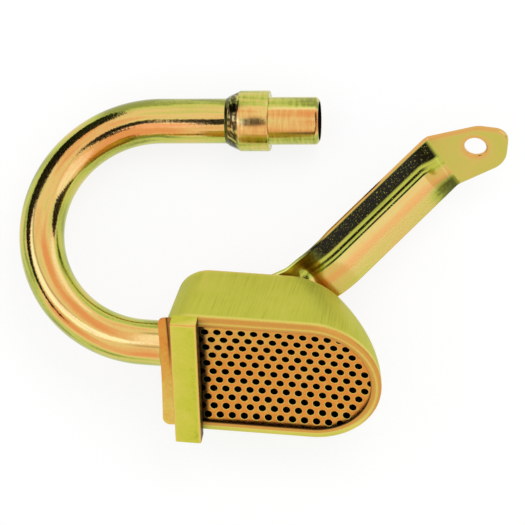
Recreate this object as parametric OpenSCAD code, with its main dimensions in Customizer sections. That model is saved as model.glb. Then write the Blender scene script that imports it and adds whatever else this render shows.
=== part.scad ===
// Oil pickup tube: a pressed strainer with a perforated screen, a bent suction tube,
// a turned press-in fitting for the pump and a pressed stay. Millimetres, +Z up.
// The pieces are drawn in the strainer's frame: X along the strainer towards its nose,
// Y across it, Z out of the screen, zero at the middle of the mouth's front plane.
// The finished part is then laid down as it rests on a bench, on the shell's back edge
// and the fitting's collar.

/* [Strainer shell] */
// Length of the strainer's mouth
mouth_l = 85.4; // [80:0.1:110]
// Width of the strainer's mouth, twice the radius of its round nose
mouth_w = 56; // [50:0.5:64]
// Depth of the shell from the front of its lip to its back
shell_depth = 36; // [30:0.5:44]
// How far the nose leans in towards the back
nose_lean = 16.3; // [4:0.1:20]
// How far the nose stands out past its straight slope, where it is fullest
nose_full = 3.2; // [0.5:0.1:3.5]
// How far each long side leans in towards the back
side_lean = 2.5; // [0.5:0.1:4]
// How far the tube-end wall leans in towards the back
end_lean = 1.1; // [0:0.1:3]
// Radius of the upright corners at the tube end, at the mouth
end_corner_r = 10.5; // [6:0.5:16]
// Radius of the same corners at the back
back_corner_r = 13.5; // [8:0.5:18]
// Radius along the back edge
back_edge_r = 3; // [1.5:0.5:5]
// Thickness of the shell's sheet
sheet_t = 1.2; // [0.8:0.1:2]
// Width of the lip that is turned in over the screen
lip_w = 4.2; // [3:0.1:6]

/* [Screen] */
// Thickness of the perforated plate
screen_t = 1; // [0.6:0.1:1.4]
// Diameter of a perforation
hole_d = 3.1; // [2:0.1:3.6]
// Distance between neighbouring perforations
hole_pitch = 4.7625; // [4.2:0.0125:7]
// Shift of the perforated pattern across the strainer
hole_shift = -0.7; // [-1.5:0.1:1.5]
// Depth of the screen's middle below the front of the lip
dish_depth = 4.6; // [4.6:0.1:6]
// Radius of the dish across the strainer
dish_cross_r = 145; // [140:5:300]
// Radius of the dish along the strainer
dish_long_r = 560; // [500:10:900]
// Solid margin between the outermost perforations and the plate's edge
screen_margin = 0.6; // [0.4:0.1:2]
// Gap between the screen's edge and the shell's wall
screen_gap = 0.1; // [0.05:0.05:0.3]
// How far the plate's plain end stands past the tube-end wall
screen_over = 1.4; // [0.5:0.1:2.5]
// Radius of the corners of that plain end
screen_corner_r = 3; // [0.5:0.1:5]

/* [Standoff bar] */
// Width of the bar along the strainer
bar_w = 10.2; // [6:0.1:14]
// Height of the bar over the lip
bar_t = 6.2; // [3:0.1:10]
// How far each end of the bar stands past the mouth's side
bar_over = 1.5; // [0:0.1:4]
// Distance from the shell's tube-end wall to the bar
bar_inset = 4.6; // [3:0.1:8]
// Radius of the bar's long edges
bar_edge_r = 0.7; // [0.3:0.1:1.5]

/* [Suction tube] */
// Outer diameter of the tube
tube_d = 18; // [14:0.1:19]
// Wall of the tube
tube_wall = 1.25; // [1:0.05:2]
// Length of the tube's end inside the strainer
tube_stub = 4; // [2:0.5:8]
// Straight length from the strainer's wall to the bend
tube_lead = 10.9; // [4:0.1:20]
// Centreline radius of the bend
bend_r = 46.1; // [40:0.1:56]
// Angle of the bend
bend_angle = 176; // [150:1:178]
// Angle of the bend's plane behind the screen's plane
bend_tilt = 55; // [35:0.5:65]
// Straight length from the bend to the pump fitting
tube_reach = 27.5; // [20:0.5:60]

/* [Pump fitting] */
// Diameter of the spigot that is pressed into the pump
spigot_d = 19.05; // [18:0.01:22]
// Length of the spigot
spigot_l = 19.8; // [12:0.1:26]
// Chamfer on the spigot's end
spigot_chamfer = 1.2; // [0.4:0.1:1.8]
// Size of the fillet at the spigot's root
spigot_root = 0.3; // [0.1:0.1:0.6]
// Diameter of the collar
collar_d = 24.3; // [22.5:0.1:30]
// Length of the collar
collar_l = 12.3; // [9:0.1:18]
// Length of the cone in front of the collar
cone_l = 4; // [2:0.1:6]
// Diameter of the cone's small end
cone_d = 20; // [19.6:0.1:21.5]
// Depth of the socket that holds the tube's end
socket_l = 11; // [7:0.5:13]
// Radial gap between the tube and the holes that hold it
tube_gap = 0.05; // [0.02:0.01:0.2]

/* [Stay] */
// Width of the strap
stay_w = 24.8; // [20:0.1:30]
// Thickness of the strap
stay_t = 2; // [1.5:0.1:3]
// Direction of the strap, from the strainer's long axis
stay_heading = 32.4; // [10:0.1:60]
// Sideways distance from the middle of the shell's round back to the strap's centreline
stay_offset = 13; // [0:0.1:16]
// Distance along the strap from that middle to the first bend
stay_reach = 25.5; // [20:0.1:34]
// Length of the foot on the shell's back
foot_l = 34; // [24:1:40]
// Width that is trimmed off the foot's outer side
foot_trim = 3; // [0:0.5:10]
// Length of the sloping part between the two bends
slope_l = 66.1; // [50:0.1:90]
// Slope of that part, from the shell's back
slope_angle = 41.9; // [20:0.1:60]
// Radius of the wide bend at the foot
foot_bend_r = 31; // [10:0.5:36]
// Radius of the tight bend at the tab
tab_bend_r = 4; // [2.5:0.1:7]
// Depth of the stiffening trough
trough_depth = 4.7; // [1:0.1:6]
// Rounding of the trough's floor
trough_round = 3; // [1.5:0.1:6]
// Length over which the trough fades at each end
trough_fade = 7; // [5:0.5:18]
// Distance from the second bend to the bolt hole
tab_l = 15.9; // [12:0.1:30]
// Radius of the tab's round end
tab_end_r = 10.4; // [8:0.1:11.5]
// How far the middle of the round end lies past the bolt hole
tab_past = 1.2; // [0:0.1:4]
// Radius of the tab's blunt corner
tab_corner_r = 5.4; // [3:0.1:8]
// How far the middle of the blunt corner lies past the bolt hole
tab_corner_past = 8.2; // [4:0.1:12]
// Diameter of the bolt hole
bolt_hole_d = 8.7; // [6:0.1:12]

/* [Hidden] */

// Clear length by which a cutting body passes the surface it cuts
past = 1;

// Strainer shell
nose_r = mouth_w / 2;
nose_x = mouth_l / 2;
end_x = nose_x - mouth_l;
nose_mid_x = nose_x - nose_r;
back_r = nose_r - side_lean;
back_mid_x = nose_x - nose_lean - back_r;
full_at = 0.55;
full_depth = full_at * shell_depth;
full_r = nose_r - full_at * side_lean;
full_mid_x = nose_mid_x + full_at * (back_mid_x - nose_mid_x) + nose_full;
back_end_x = end_x + end_lean;
bar_x = end_x + bar_inset;
lip_end_x = bar_x + bar_w / 2;

// Inner radius of the nose, and its middle, at a small depth below the mouth's front plane
function wall_r(depth) = nose_r - sheet_t - depth / shell_depth * side_lean;
function wall_mid_x(depth) = nose_mid_x + depth / full_depth * (full_mid_x - nose_mid_x);

// Screen
screen_low = dish_depth + screen_t - pow(nose_x, 2) / (2 * dish_long_r);
screen_r = wall_r(screen_low) - screen_gap;
screen_mid_x = wall_mid_x(screen_low);
hole_row = hole_pitch * sqrt(3) / 2;
hole_reach = screen_r - hole_d / 2 - screen_margin;
hole_first_x = bar_x + bar_w - hole_d / 2;
function in_screen(x, y) = x > hole_first_x && (x < screen_mid_x
    ? abs(y) < hole_reach
    : norm([x - screen_mid_x, y]) < hole_reach);

// Suction tube, in the bend's own plane
tube_r = tube_d / 2;
tube_z = -shell_depth / 2;
bend_x = end_x - tube_lead;
bend_end = 270 - bend_angle;
leg_heading = 180 - bend_angle;
leg_start = [bend_r * cos(bend_end), bend_r + bend_r * sin(bend_end), 0];

// Pump fitting, along its own axis from the cone's small end
collar_z = cone_l;
spigot_z = collar_z + collar_l;
fitting_l = spigot_z + spigot_l;
fitting_edge = 0.5;

// Stay: stations along the strap, each with its distance, depth, slope, trough and trim
foot_tangent = foot_bend_r * tan(slope_angle / 2);
tab_tangent = tab_bend_r * tan(slope_angle / 2);
foot_arc = foot_bend_r * slope_angle * PI / 180;
bend_steps = 8;
slope_steps = 20;
across_steps = 14;
drop = slope_l * sin(slope_angle);
run = slope_l * cos(slope_angle);
slope_free = slope_l - foot_tangent - tab_tangent;
tab_start = run + tab_tangent;
tab_x = run + tab_l;
tab_side = tab_end_r - stay_w / 2;
tab_corner_y = -1;
function bend_at(r, a) = [r * sin(a), r * (1 - cos(a))];
function fade(s) = let (k = min(1, s / trough_fade)) k * k * (3 - 2 * k);
function first_bend() = [for (i = [0 : bend_steps - 1])
    let (a = slope_angle * i / bend_steps, b = bend_at(foot_bend_r, a))
    [b[0] - foot_tangent, b[1], a, fade(foot_arc * i / bend_steps), 1 - i / bend_steps]];
function slope() = [for (i = [0 : slope_steps])
    let (s = slope_free * i / slope_steps, t = foot_tangent + s)
    [t * cos(slope_angle), t * sin(slope_angle), slope_angle, fade(foot_arc + s) * fade(slope_free - s), 0]];
function second_bend() = [for (i = [bend_steps - 1 : -1 : 0])
    let (a = slope_angle * i / bend_steps, b = bend_at(tab_bend_r, a))
    [run + tab_tangent - b[0], drop - b[1], a, 0, 0]];
stations = concat([[-foot_l, 0, 0, 0, 1]], first_bend(), slope(), second_bend(),
    [[tab_start + past, drop, 0, 0, 0]]);

// Trough: a rounded V across the strap, level with its edges
function trough(v) = trough_depth * (norm([v, trough_round]) - norm([stay_w / 2, trough_round]))
    / (norm([stay_w / 2, trough_round]) - trough_round);
function across(st, i) = (stay_w - st[4] * foot_trim) * i / across_steps - stay_w / 2;
function strap_point(st, v, n) = let (lift = n + st[3] * trough(v))
    [st[0] + lift * sin(st[2]), v, -st[1] + lift * cos(st[2])];
function strap_ring(st) = concat(
    [for (i = [0 : across_steps]) strap_point(st, across(st, i), stay_t / 2)],
    [for (i = [across_steps : -1 : 0]) strap_point(st, across(st, i), -stay_t / 2)]);

// Lying down: the floor touches the shell's back edge and the fitting's collar
function unit(v) = v / norm(v);
function turn_x(v, a) = [v[0], v[1] * cos(a) - v[2] * sin(a), v[1] * sin(a) + v[2] * cos(a)];
function turn_z(v, a) = [v[0] * cos(a) - v[1] * sin(a), v[0] * sin(a) + v[1] * cos(a), v[2]];
function from_bend(v) = [bend_x, 0, tube_z] + turn_x(v, -bend_tilt);
function from_stay(v) = [back_mid_x, 0, -shell_depth - stay_t / 2] + turn_z(v, stay_heading);
leg_dir = [cos(leg_heading), sin(leg_heading), 0];
spigot_dir = turn_x(leg_dir, -bend_tilt);
collar_mid = from_bend(leg_start + (tube_reach + collar_z + collar_l / 2) * leg_dir);
edge_mid = [0, back_edge_r - back_r, back_edge_r - shell_depth];
function across_axis(v, axis) = v - (v * axis) * axis;
function collar_end(d) = collar_mid + sign(d * spigot_dir) * (collar_l / 2 - fitting_edge) * spigot_dir
    + collar_d / 2 * unit(across_axis(d, spigot_dir));
function edge_foot(up) = edge_mid - back_edge_r * up;
function floor_normal(up, n) = n == 0 ? up : floor_normal(
    unit(cross([1, 0, 0], collar_end(-up) - edge_foot(up))), n - 1);
floor_up = floor_normal(unit([0, 1, 1]), 12);
lay_roll = atan2(floor_up[1], floor_up[2]);

// The laid part's middle: bend to tab along X, bar to collar along Y
floor_y = turn_x([0, 1, 0], -lay_roll);
tab_end = from_stay([stay_reach + tab_x + tab_past, stay_offset + tab_side, -drop]);
tab_corner = from_stay([stay_reach + tab_x + tab_corner_past, stay_offset + tab_corner_y, -drop]);
bar_corner = [bar_x, -nose_r - bar_over, bar_t];
x_low = bend_x - bend_r - tube_r;
x_high = max(tab_end[0] + tab_end_r, tab_corner[0] + tab_corner_r);
y_low = bar_corner * floor_y;
y_high = collar_end(floor_y) * floor_y;
floor_mid = [(x_low + x_high) / 2, (y_low + y_high) / 2, edge_foot(floor_up) * floor_up];

module lay_down() {
    translate(-floor_mid)
        rotate([lay_roll, 0, 0])
            children();
}

// A D-shaped outline: a round nose, straight sides and a square end with rounded corners
module d_outline(r, mid_x, from_x, corner_r) {
    translate([mid_x, 0])
        circle(r, $fn = 96);
    translate([from_x + corner_r, -r])
        square([mid_x - from_x - corner_r, 2 * r]);
    translate([from_x, corner_r - r])
        square([corner_r + past, 2 * (r - corner_r)]);
    for (side = [-1, 1])
        translate([from_x + corner_r, side * (r - corner_r)])
            circle(corner_r, $fn = 48);
}

// A disc whose lower edge is rounded
module rounded_disc(r, edge_r) {
    rotate_extrude($fn = 64) {
        square([r - edge_r, edge_r]);
        translate([r - edge_r, edge_r])
            intersection() {
                circle(edge_r, $fn = 32);
                translate([0, -edge_r])
                    square(edge_r);
            }
    }
}

// The shell's form at its outside, or inside it by a sheet, from its back up to a front depth
module shell_form(inside, front) {
    edge_r = back_edge_r - inside;
    hull() {
        translate([nose_mid_x, 0, front - past / 100])
            cylinder(r = nose_r - inside, h = past / 100, $fn = 96);
        translate([full_mid_x, 0, -full_depth])
            cylinder(r = full_r - inside, h = past / 100, $fn = 96);
        translate([back_mid_x, 0, inside - shell_depth])
            rounded_disc(back_r - inside, edge_r);
        for (side = [-1, 1]) {
            translate([end_x + end_corner_r, side * (nose_r - end_corner_r), front - past / 100])
                cylinder(r = end_corner_r - inside, h = past / 100, $fn = 48);
            translate([back_end_x + back_corner_r, side * (back_r - back_corner_r), inside - shell_depth])
                rounded_disc(back_corner_r - inside, edge_r);
        }
    }
}

// Everything above the dish, as seen from a surface that lies lower by drop_t
module above_dish(drop_t) {
    swing = 2 * atan(mouth_l / dish_long_r);
    translate([0, 0, dish_long_r - dish_depth])
        rotate([90, 90 + swing / 2, 0])
            rotate_extrude(angle = swing, $fn = 360)
                translate([dish_long_r - dish_cross_r, 0])
                    intersection() {
                        circle(dish_cross_r + drop_t, $fn = 360);
                        translate([dish_cross_r * 0.9, -mouth_w])
                            square(2 * mouth_w);
                    }
}

module strainer_shell() {
    color([0.72, 0.68, 0.34])
        lay_down()
            difference() {
                shell_form(0, 0);
                shell_form(sheet_t, -sheet_t);
                translate([0, 0, -sheet_t - past])
                    linear_extrude(sheet_t + 2 * past)
                        d_outline(nose_r - lip_w, nose_mid_x, lip_end_x - past, past / 2);
                intersection() {
                    above_dish(screen_t);
                    translate([end_x - past, -mouth_w, -shell_depth / 2])
                        cube([lip_end_x - end_x + past, 2 * mouth_w, shell_depth]);
                }
                translate([end_x - past, 0, tube_z])
                    rotate([0, 90, 0])
                        cylinder(r = tube_r + tube_gap, h = end_lean + sheet_t + 2 * past, $fn = 64);
            }
}

module strainer_screen() {
    color([0.80, 0.56, 0.22])
        lay_down()
            difference() {
                intersection() {
                    translate([0, 0, -2 * dish_depth])
                        linear_extrude(2 * dish_depth + past)
                            difference() {
                                d_outline(screen_r, screen_mid_x, end_x - screen_over, screen_corner_r);
                                perforations();
                            }
                    above_dish(screen_t);
                }
                above_dish(0);
            }
}

module perforations() {
    rows = ceil(nose_r / hole_row);
    columns = ceil(mouth_l / hole_pitch);
    for (row = [-rows : rows])
        for (column = [-columns : columns]) {
            x = (column + (row % 2 == 0 ? 0 : 0.5)) * hole_pitch;
            y = row * hole_row + hole_shift;
            if (in_screen(x, y))
                translate([x, y])
                    circle(d = hole_d, $fn = 24);
        }
}

module standoff_bar() {
    color([0.76, 0.66, 0.28])
        lay_down()
            translate([bar_x, nose_r + bar_over, 0])
                rotate([90, 0, 0])
                    linear_extrude(mouth_w + 2 * bar_over)
                        bar_section();
}

module bar_section() {
    square([bar_w, bar_t - bar_edge_r]);
    translate([bar_edge_r, 0])
        square([bar_w - 2 * bar_edge_r, bar_t]);
    for (x = [bar_edge_r, bar_w - bar_edge_r])
        translate([x, bar_t - bar_edge_r])
            circle(bar_edge_r, $fn = 24);
}

// A solid rod along the tube's path, longer by extra at both ends
module tube_path(r, extra) {
    in_bend_plane() {
        rotate([0, 90, 0])
            cylinder(r = r, h = tube_lead + sheet_t + tube_stub + extra, $fn = 64);
        translate([0, bend_r, 0])
            rotate([0, 0, bend_end])
                rotate_extrude(angle = bend_angle, $fn = 180)
                    translate([bend_r, 0])
                        circle(r, $fn = 64);
    }
    on_leg()
        cylinder(r = r, h = tube_reach + socket_l + extra, $fn = 64);
}

// Places its children in the bend's plane, where the bend starts at zero and heads along -X
module in_bend_plane() {
    translate([bend_x, 0, tube_z])
        rotate([-bend_tilt, 0, 0])
            children();
}

// Places its children on the straight leg after the bend, with Z along the leg
module on_leg() {
    in_bend_plane()
        translate(leg_start)
            rotate([0, 90, leg_heading])
                children();
}

// Short cores inside the tube's wall that make its straight ends one with the bend
module bend_cores() {
    core_r = tube_r - tube_wall / 2;
    in_bend_plane()
        rotate([0, 90, 0])
            cylinder(r = core_r, h = past, center = true, $fn = 64);
    on_leg()
        cylinder(r = core_r, h = past, center = true, $fn = 64);
}

module pickup_tube() {
    color([0.78, 0.70, 0.30])
        lay_down()
            difference() {
                union() {
                    tube_path(tube_r, 0);
                    bend_cores();
                }
                tube_path(tube_r - tube_wall, past);
            }
}

module pump_fitting() {
    bore_r = tube_r - tube_wall;
    socket_r = tube_r + tube_gap;
    spigot_r = spigot_d / 2;
    collar_r = collar_d / 2;
    color([0.82, 0.74, 0.34])
        lay_down()
            on_leg()
                translate([0, 0, tube_reach])
                    rotate_extrude($fn = 96)
                        polygon([
                            [socket_r, 0],
                            [cone_d / 2, 0],
                            [collar_r - fitting_edge, collar_z],
                            [collar_r, collar_z + fitting_edge],
                            [collar_r, spigot_z - fitting_edge],
                            [collar_r - fitting_edge, spigot_z],
                            [spigot_r + spigot_root, spigot_z],
                            [spigot_r, spigot_z + spigot_root],
                            [spigot_r, fitting_l - spigot_chamfer],
                            [spigot_r - spigot_chamfer, fitting_l],
                            [bore_r, fitting_l],
                            [bore_r, socket_l],
                            [socket_r, socket_l]
                        ]);
}

module stay_bracket() {
    color([0.78, 0.70, 0.32])
        lay_down()
            translate([back_mid_x, 0, -shell_depth - stay_t / 2])
                rotate([0, 0, stay_heading])
                    translate([stay_reach, stay_offset, 0]) {
                        strap();
                        translate([0, 0, -drop - stay_t / 2])
                            linear_extrude(stay_t)
                                tab_outline();
                    }
}

// The flat tab past the second bend: a round end with one blunt corner, and the bolt hole
module tab_outline() {
    difference() {
        hull() {
            translate([tab_start, -stay_w / 2])
                square([past, stay_w]);
            translate([tab_x + tab_past, tab_side])
                circle(tab_end_r, $fn = 96);
            translate([tab_x + tab_corner_past, tab_corner_y])
                circle(tab_corner_r, $fn = 48);
        }
        translate([tab_x, 0])
            circle(d = bolt_hole_d, $fn = 64);
    }
}

// The strap from the foot to the start of its tab, as rings of points along its stations
module strap() {
    ring_n = 2 * (across_steps + 1);
    last = len(stations) - 1;
    points = [for (st = stations) each strap_ring(st)];
    sides = [for (k = [0 : last - 1], i = [0 : ring_n - 1])
        let (a = k * ring_n + i, b = k * ring_n + (i + 1) % ring_n)
        each [[a, b, b + ring_n], [a, b + ring_n, a + ring_n]]];
    caps = [for (i = [0 : across_steps - 1])
        let (a = i, b = i + 1, c = ring_n - 2 - i, d = ring_n - 1 - i, e = last * ring_n)
        each [[a, c, b], [a, d, c], [e + a, e + b, e + c], [e + a, e + c, e + d]]];
    polyhedron(points, concat(sides, caps));
}

strainer_shell();
strainer_screen();
standoff_bar();
pickup_tube();
pump_fitting();
stay_bracket();
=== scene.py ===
# %% [markdown]
# An oil pickup tube lies on a white bench: a pressed strainer cup with a perforated screen,
# a standoff bar across its mouth, a tube bent into a loop, a turned fitting that is pressed into
# the pump, and a pressed stay with a bolt hole. All of it is zinc plated and yellow passivated.
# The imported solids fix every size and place. Their flat facets would show in a shiny finish,
# so each piece is built again here as a smooth mesh on the same sizes.

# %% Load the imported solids
import math
import bmesh
import bpy
from mathutils import Matrix, Vector, noise


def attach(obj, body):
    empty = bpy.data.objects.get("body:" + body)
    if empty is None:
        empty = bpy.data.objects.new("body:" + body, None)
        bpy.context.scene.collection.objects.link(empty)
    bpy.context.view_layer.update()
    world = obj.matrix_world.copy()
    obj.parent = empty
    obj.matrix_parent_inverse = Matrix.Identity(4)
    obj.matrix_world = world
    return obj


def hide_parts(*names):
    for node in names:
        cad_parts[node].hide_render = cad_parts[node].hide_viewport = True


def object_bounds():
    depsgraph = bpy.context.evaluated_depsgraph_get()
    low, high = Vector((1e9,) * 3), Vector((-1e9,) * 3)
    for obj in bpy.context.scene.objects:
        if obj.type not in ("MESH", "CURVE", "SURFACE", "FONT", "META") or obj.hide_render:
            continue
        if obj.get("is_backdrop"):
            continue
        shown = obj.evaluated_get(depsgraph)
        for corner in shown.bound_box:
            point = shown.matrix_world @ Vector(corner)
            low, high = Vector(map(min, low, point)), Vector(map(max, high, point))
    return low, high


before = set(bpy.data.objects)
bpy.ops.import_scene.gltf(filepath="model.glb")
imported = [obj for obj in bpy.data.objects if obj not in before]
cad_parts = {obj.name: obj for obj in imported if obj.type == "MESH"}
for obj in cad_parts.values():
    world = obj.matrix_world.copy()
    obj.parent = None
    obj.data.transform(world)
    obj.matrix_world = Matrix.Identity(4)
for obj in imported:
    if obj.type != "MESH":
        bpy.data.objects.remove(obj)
solid_box = [list(corner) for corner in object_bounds()]
print("solids:", ", ".join(sorted(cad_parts)))

# %% [markdown]
# The pieces are easiest to draw square to the strainer: X along it towards the round nose,
# Y across it and Z out of the screen, in millimetres, with zero at the front of the lip.
# One matrix then lays everything down on the bench, so no piece needs its own placing.

# %% The strainer's own frame, laid on the bench
MM = 0.001
LAY_ROLL = math.radians(44.5069)
FLOOR_MID = Vector((-12.7056, 46.4362, -42.3069))
LAID = Matrix.Scale(MM, 4) @ Matrix.Translation(-FLOOR_MID) @ Matrix.Rotation(LAY_ROLL, 4, "X")
UNLAID = LAID.inverted()
print("laid down by", round(math.degrees(LAY_ROLL), 2), "degrees")

# %% [markdown]
# Every piece is made in the same way: points and faces become a mesh, smooth faces are shaded as
# one, and the piece takes the place of its solid. Each point also carries three painted values.
# Film is how thick the yellow film has dried there, the dark value is how dark a point is painted,
# for shade, dark reflections and residue, and grain is the point's place along the working
# direction, for fine marks. Painting points suits a film that drains and gathers along edges, which
# noise alone can't place.

# %% Turn points and faces into a painted piece
MERGE, SLIVER = 2e-6, 1e-6


def no_paint(p):
    return 0.0


def plain_grain(p):
    return p


def add_piece(name, points, faces, finish, slot, stands_for=None, sharp=40,
              film=no_paint, shade_and_residue=no_paint, grain=plain_grain):
    mesh = bpy.data.meshes.new(name)
    mesh.from_pydata([LAID @ Vector(p) for p in points], [], faces)
    form = bmesh.new()
    form.from_mesh(mesh)
    bmesh.ops.remove_doubles(form, verts=form.verts, dist=MERGE)
    bmesh.ops.dissolve_degenerate(form, edges=form.edges, dist=SLIVER)
    bmesh.ops.recalc_face_normals(form, faces=form.faces)
    open_edges = sum(1 for edge in form.edges if not edge.is_manifold)
    form.to_mesh(mesh)
    form.free()
    mesh.polygons.foreach_set("use_smooth", [True] * len(mesh.polygons))
    mesh.set_sharp_from_angle(angle=math.radians(sharp))
    places = [UNLAID @ v.co for v in mesh.vertices]
    for paint, amount in (("film", film), ("shade_and_residue", shade_and_residue)):
        values = mesh.attributes.new(paint, "FLOAT", "POINT").data
        values.foreach_set("value", [amount(p) for p in places])
    marks = mesh.attributes.new("grain", "FLOAT_VECTOR", "POINT").data
    marks.foreach_set("vector", [MM * part for p in places for part in grain(p)])
    piece = bpy.data.objects.new(name, mesh)
    bpy.context.scene.collection.objects.link(piece)
    mesh.materials.append(finish)
    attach(piece, "root")
    if stands_for:
        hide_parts(stands_for)
    print(name, len(mesh.polygons), "faces,", open_edges, "open edges")


print("points nearer than", MERGE / MM, "mm are joined")

# %% [markdown]
# Yellow passivated zinc is a clear, slightly iridescent film on bright metal. Where it is thin it
# looks lime green, where it is thicker gold and then orange, and it is never even. One colour ramp
# holds that sequence. Its position is the painted film, plus more on faces that look up, which is a
# painted reflection, plus cloudy noise. The look-up rule reads the mesh's own normal, so it stays
# put when the view moves. Fine grain, drawn out along the working direction, breaks up the gloss,
# and bare specks break up the painted dark: shade, dark reflections and the braze's residue.

# %% The plated finish
# The dark colour mixed in for painted shade, painted dark reflections and the braze's residue.
SHADE_AND_RESIDUE = (0.012, 0.010, 0.005, 1)
DENT_STRENGTH, DENT_DEPTH = 0.1, 0.3 * MM


def plated(name, lime, gold, orange, rough, up_low=0.45, up_high=0.9, up_reflection_gain=0.0, cloud=60,
           cloud_gain=0.4, grain=700, grain_gain=0.25, drawn=(1, 1, 1), metal=1.0, bare=1.5):
    finish = bpy.data.materials.new(name)
    finish.use_nodes = True
    tree = finish.node_tree
    link = tree.links.new
    shader = tree.nodes["Principled BSDF"]
    shader.inputs["Metallic"].default_value = metal
    shader.inputs["Specular IOR Level"].default_value = 0.0

    def add(kind, values=(), **settings):
        node = tree.nodes.new("ShaderNode" + kind)
        for key, value in settings.items():
            setattr(node, key, value)
        for key, value in dict(values).items():
            node.inputs[key].default_value = value
        return node

    def maths(operation, a, b):
        node = add("Math", operation=operation)
        for socket, value in zip(node.inputs, (a, b)):
            if isinstance(value, (int, float)):
                socket.default_value = value
            else:
                link(value, socket)
        return node.outputs[0]

    where = add("TexCoord")
    place = add("Mapping", {"Scale": drawn})
    link(add("Attribute", attribute_name="grain").outputs["Vector"], place.inputs["Vector"])
    clouds = add("TexNoise", {"Scale": cloud, "Detail": 5, "Roughness": 0.6})
    link(where.outputs["Object"], clouds.inputs["Vector"])
    specks = add("TexNoise", {"Scale": grain, "Detail": 3})
    link(place.outputs["Vector"], specks.inputs["Vector"])

    lean = add("SeparateXYZ")
    link(where.outputs["Normal"], lean.inputs["Vector"])
    # Faces that look up get more film, which is a painted reflection.
    up_reflection = add("MapRange", {"From Min": up_low, "From Max": up_high, "To Max": up_reflection_gain},
                 interpolation_type="SMOOTHSTEP")
    link(lean.outputs["Z"], up_reflection.inputs["Value"])
    film = add("Attribute", attribute_name="film").outputs["Fac"]
    uneven = maths("MULTIPLY", maths("SUBTRACT", clouds.outputs["Fac"], 0.5), cloud_gain)
    grainy = maths("MULTIPLY", maths("SUBTRACT", specks.outputs["Fac"], 0.5), grain_gain)
    thick = maths("ADD", maths("ADD", film, up_reflection.outputs["Result"]),
                  maths("ADD", uneven, grainy))
    colours = add("ValToRGB")
    ramp = colours.color_ramp.elements
    ramp[0].position = 0.0
    ramp[0].color = (*[0.55 * part for part in lime], 1)
    ramp.new(0.2).color = (*lime, 1)
    ramp[-1].position = 0.95
    ramp[-1].color = (*orange, 1)
    ramp.new(0.5).color = (*gold, 1)
    link(thick, colours.inputs["Fac"])

    # How dark a point is painted: shade and dark reflections, and residue on the cone's braze.
    shade_and_residue = add("Attribute", attribute_name="shade_and_residue").outputs["Fac"]
    patchy = add("MapRange", {"From Min": bare, "From Max": bare - 0.2})
    link(specks.outputs["Fac"], patchy.inputs["Value"])
    darkened = add("Mix", {"B": SHADE_AND_RESIDUE}, data_type="RGBA")
    link(maths("MULTIPLY", shade_and_residue, patchy.outputs["Result"]), darkened.inputs["Factor"])
    link(colours.outputs["Color"], darkened.inputs["A"])
    link(darkened.outputs["Result"], shader.inputs["Base Color"])

    polish = add("MapRange", {"From Min": 0.3, "From Max": 0.7,
                              "To Min": 0.75 * rough, "To Max": 1.25 * rough})
    link(specks.outputs["Fac"], polish.inputs["Value"])
    link(polish.outputs["Result"], shader.inputs["Roughness"])
    relief = add("Bump", {"Strength": DENT_STRENGTH, "Distance": DENT_DEPTH})
    link(specks.outputs["Fac"], relief.inputs["Height"])
    link(relief.outputs["Normal"], shader.inputs["Normal"])
    print("finish", name, "of", len(tree.nodes), "nodes")
    return finish


print("residue is coloured", SHADE_AND_RESIDUE[:3])

# %% [markdown]
# The strainer cup is deep drawn from sheet, with a round nose, a square tube end and walls that
# lean in. Its outline is a D at every depth: half a circle at the nose, two straight sides and an
# end with rounded corners. The screen in its mouth is dished both ways, like the side of a barrel,
# and the end of the cup without a lip is cut to the same dish.

# %% The D-shaped outline and the dish that the screen follows
NOSE_R, NOSE_X, END_X = 28.0, 42.7, -42.7
DEPTH, SIDE_LEAN, END_LEAN = 36.0, 2.5, 1.1
NOSE_SLOPE, NOSE_CURL = 0.87, 12.93
END_CORNER, CORNER_GROWTH, LEAST_CORNER = 10.5, 3.0, 0.6
DISH_DEPTH, DISH_CROSS_R, DISH_LONG_R = 4.6, 145.0, 560.0
NOSE_STEPS, SIDE_STEPS, CORNER_STEPS, HALF_END_STEPS = 96, 20, 16, 12


def d_outline(r, mid_x, left_x, corner_r):
    turn = [math.radians(-90 + 180 * i / NOSE_STEPS) for i in range(NOSE_STEPS + 1)]
    line = [(mid_x + r * math.cos(a), r * math.sin(a)) for a in turn]
    run = left_x + corner_r - mid_x
    line += [(mid_x + run * i / SIDE_STEPS, r) for i in range(1, SIDE_STEPS)]
    turn = [math.radians(90 + 90 * i / CORNER_STEPS) for i in range(CORNER_STEPS + 1)]
    rounded = [(left_x + corner_r * (1 + math.cos(a)), r - corner_r + corner_r * math.sin(a))
               for a in turn]
    line += rounded
    line += [(left_x, (r - corner_r) * (1 - i / HALF_END_STEPS))
             for i in range(1, 2 * HALF_END_STEPS)]
    line += [(x, -y) for x, y in reversed(rounded)]
    line += [(left_x + corner_r - run * i / SIDE_STEPS, -r) for i in range(1, SIDE_STEPS)]
    return line


def dish(x, y, drop=0.0):
    across = DISH_LONG_R - DISH_CROSS_R + math.sqrt((DISH_CROSS_R + drop) ** 2 - y * y)
    return DISH_LONG_R - DISH_DEPTH - math.sqrt(across * across - x * x)


def cup_section(z):
    """The outer wall's nose radius, nose middle, end and corner radius at a height."""
    t = -z / DEPTH
    return (NOSE_R - SIDE_LEAN * t, NOSE_X - NOSE_R - NOSE_SLOPE * t - NOSE_CURL * t * t,
            END_X + END_LEAN * t, END_CORNER + CORNER_GROWTH * t)


def cup_outline(z, inset):
    r, mid_x, left_x, corner_r = cup_section(z)
    return d_outline(r - inset, mid_x, left_x + inset, max(LEAST_CORNER, corner_r - inset))


print("screen's middle lies", round(-dish(0, 0), 2), "mm below the lip")

# %% [markdown]
# A primitive can't lean on one side only, so the cup is lofted: rings of equal length are joined
# by quads. The rings climb the outer wall, turn over the rolled lip, step back under it and go
# down the inner wall, which gives the sheet its thickness. Towards the tube end the lip fades,
# because the plate's plain end lies over the wall there.

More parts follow.
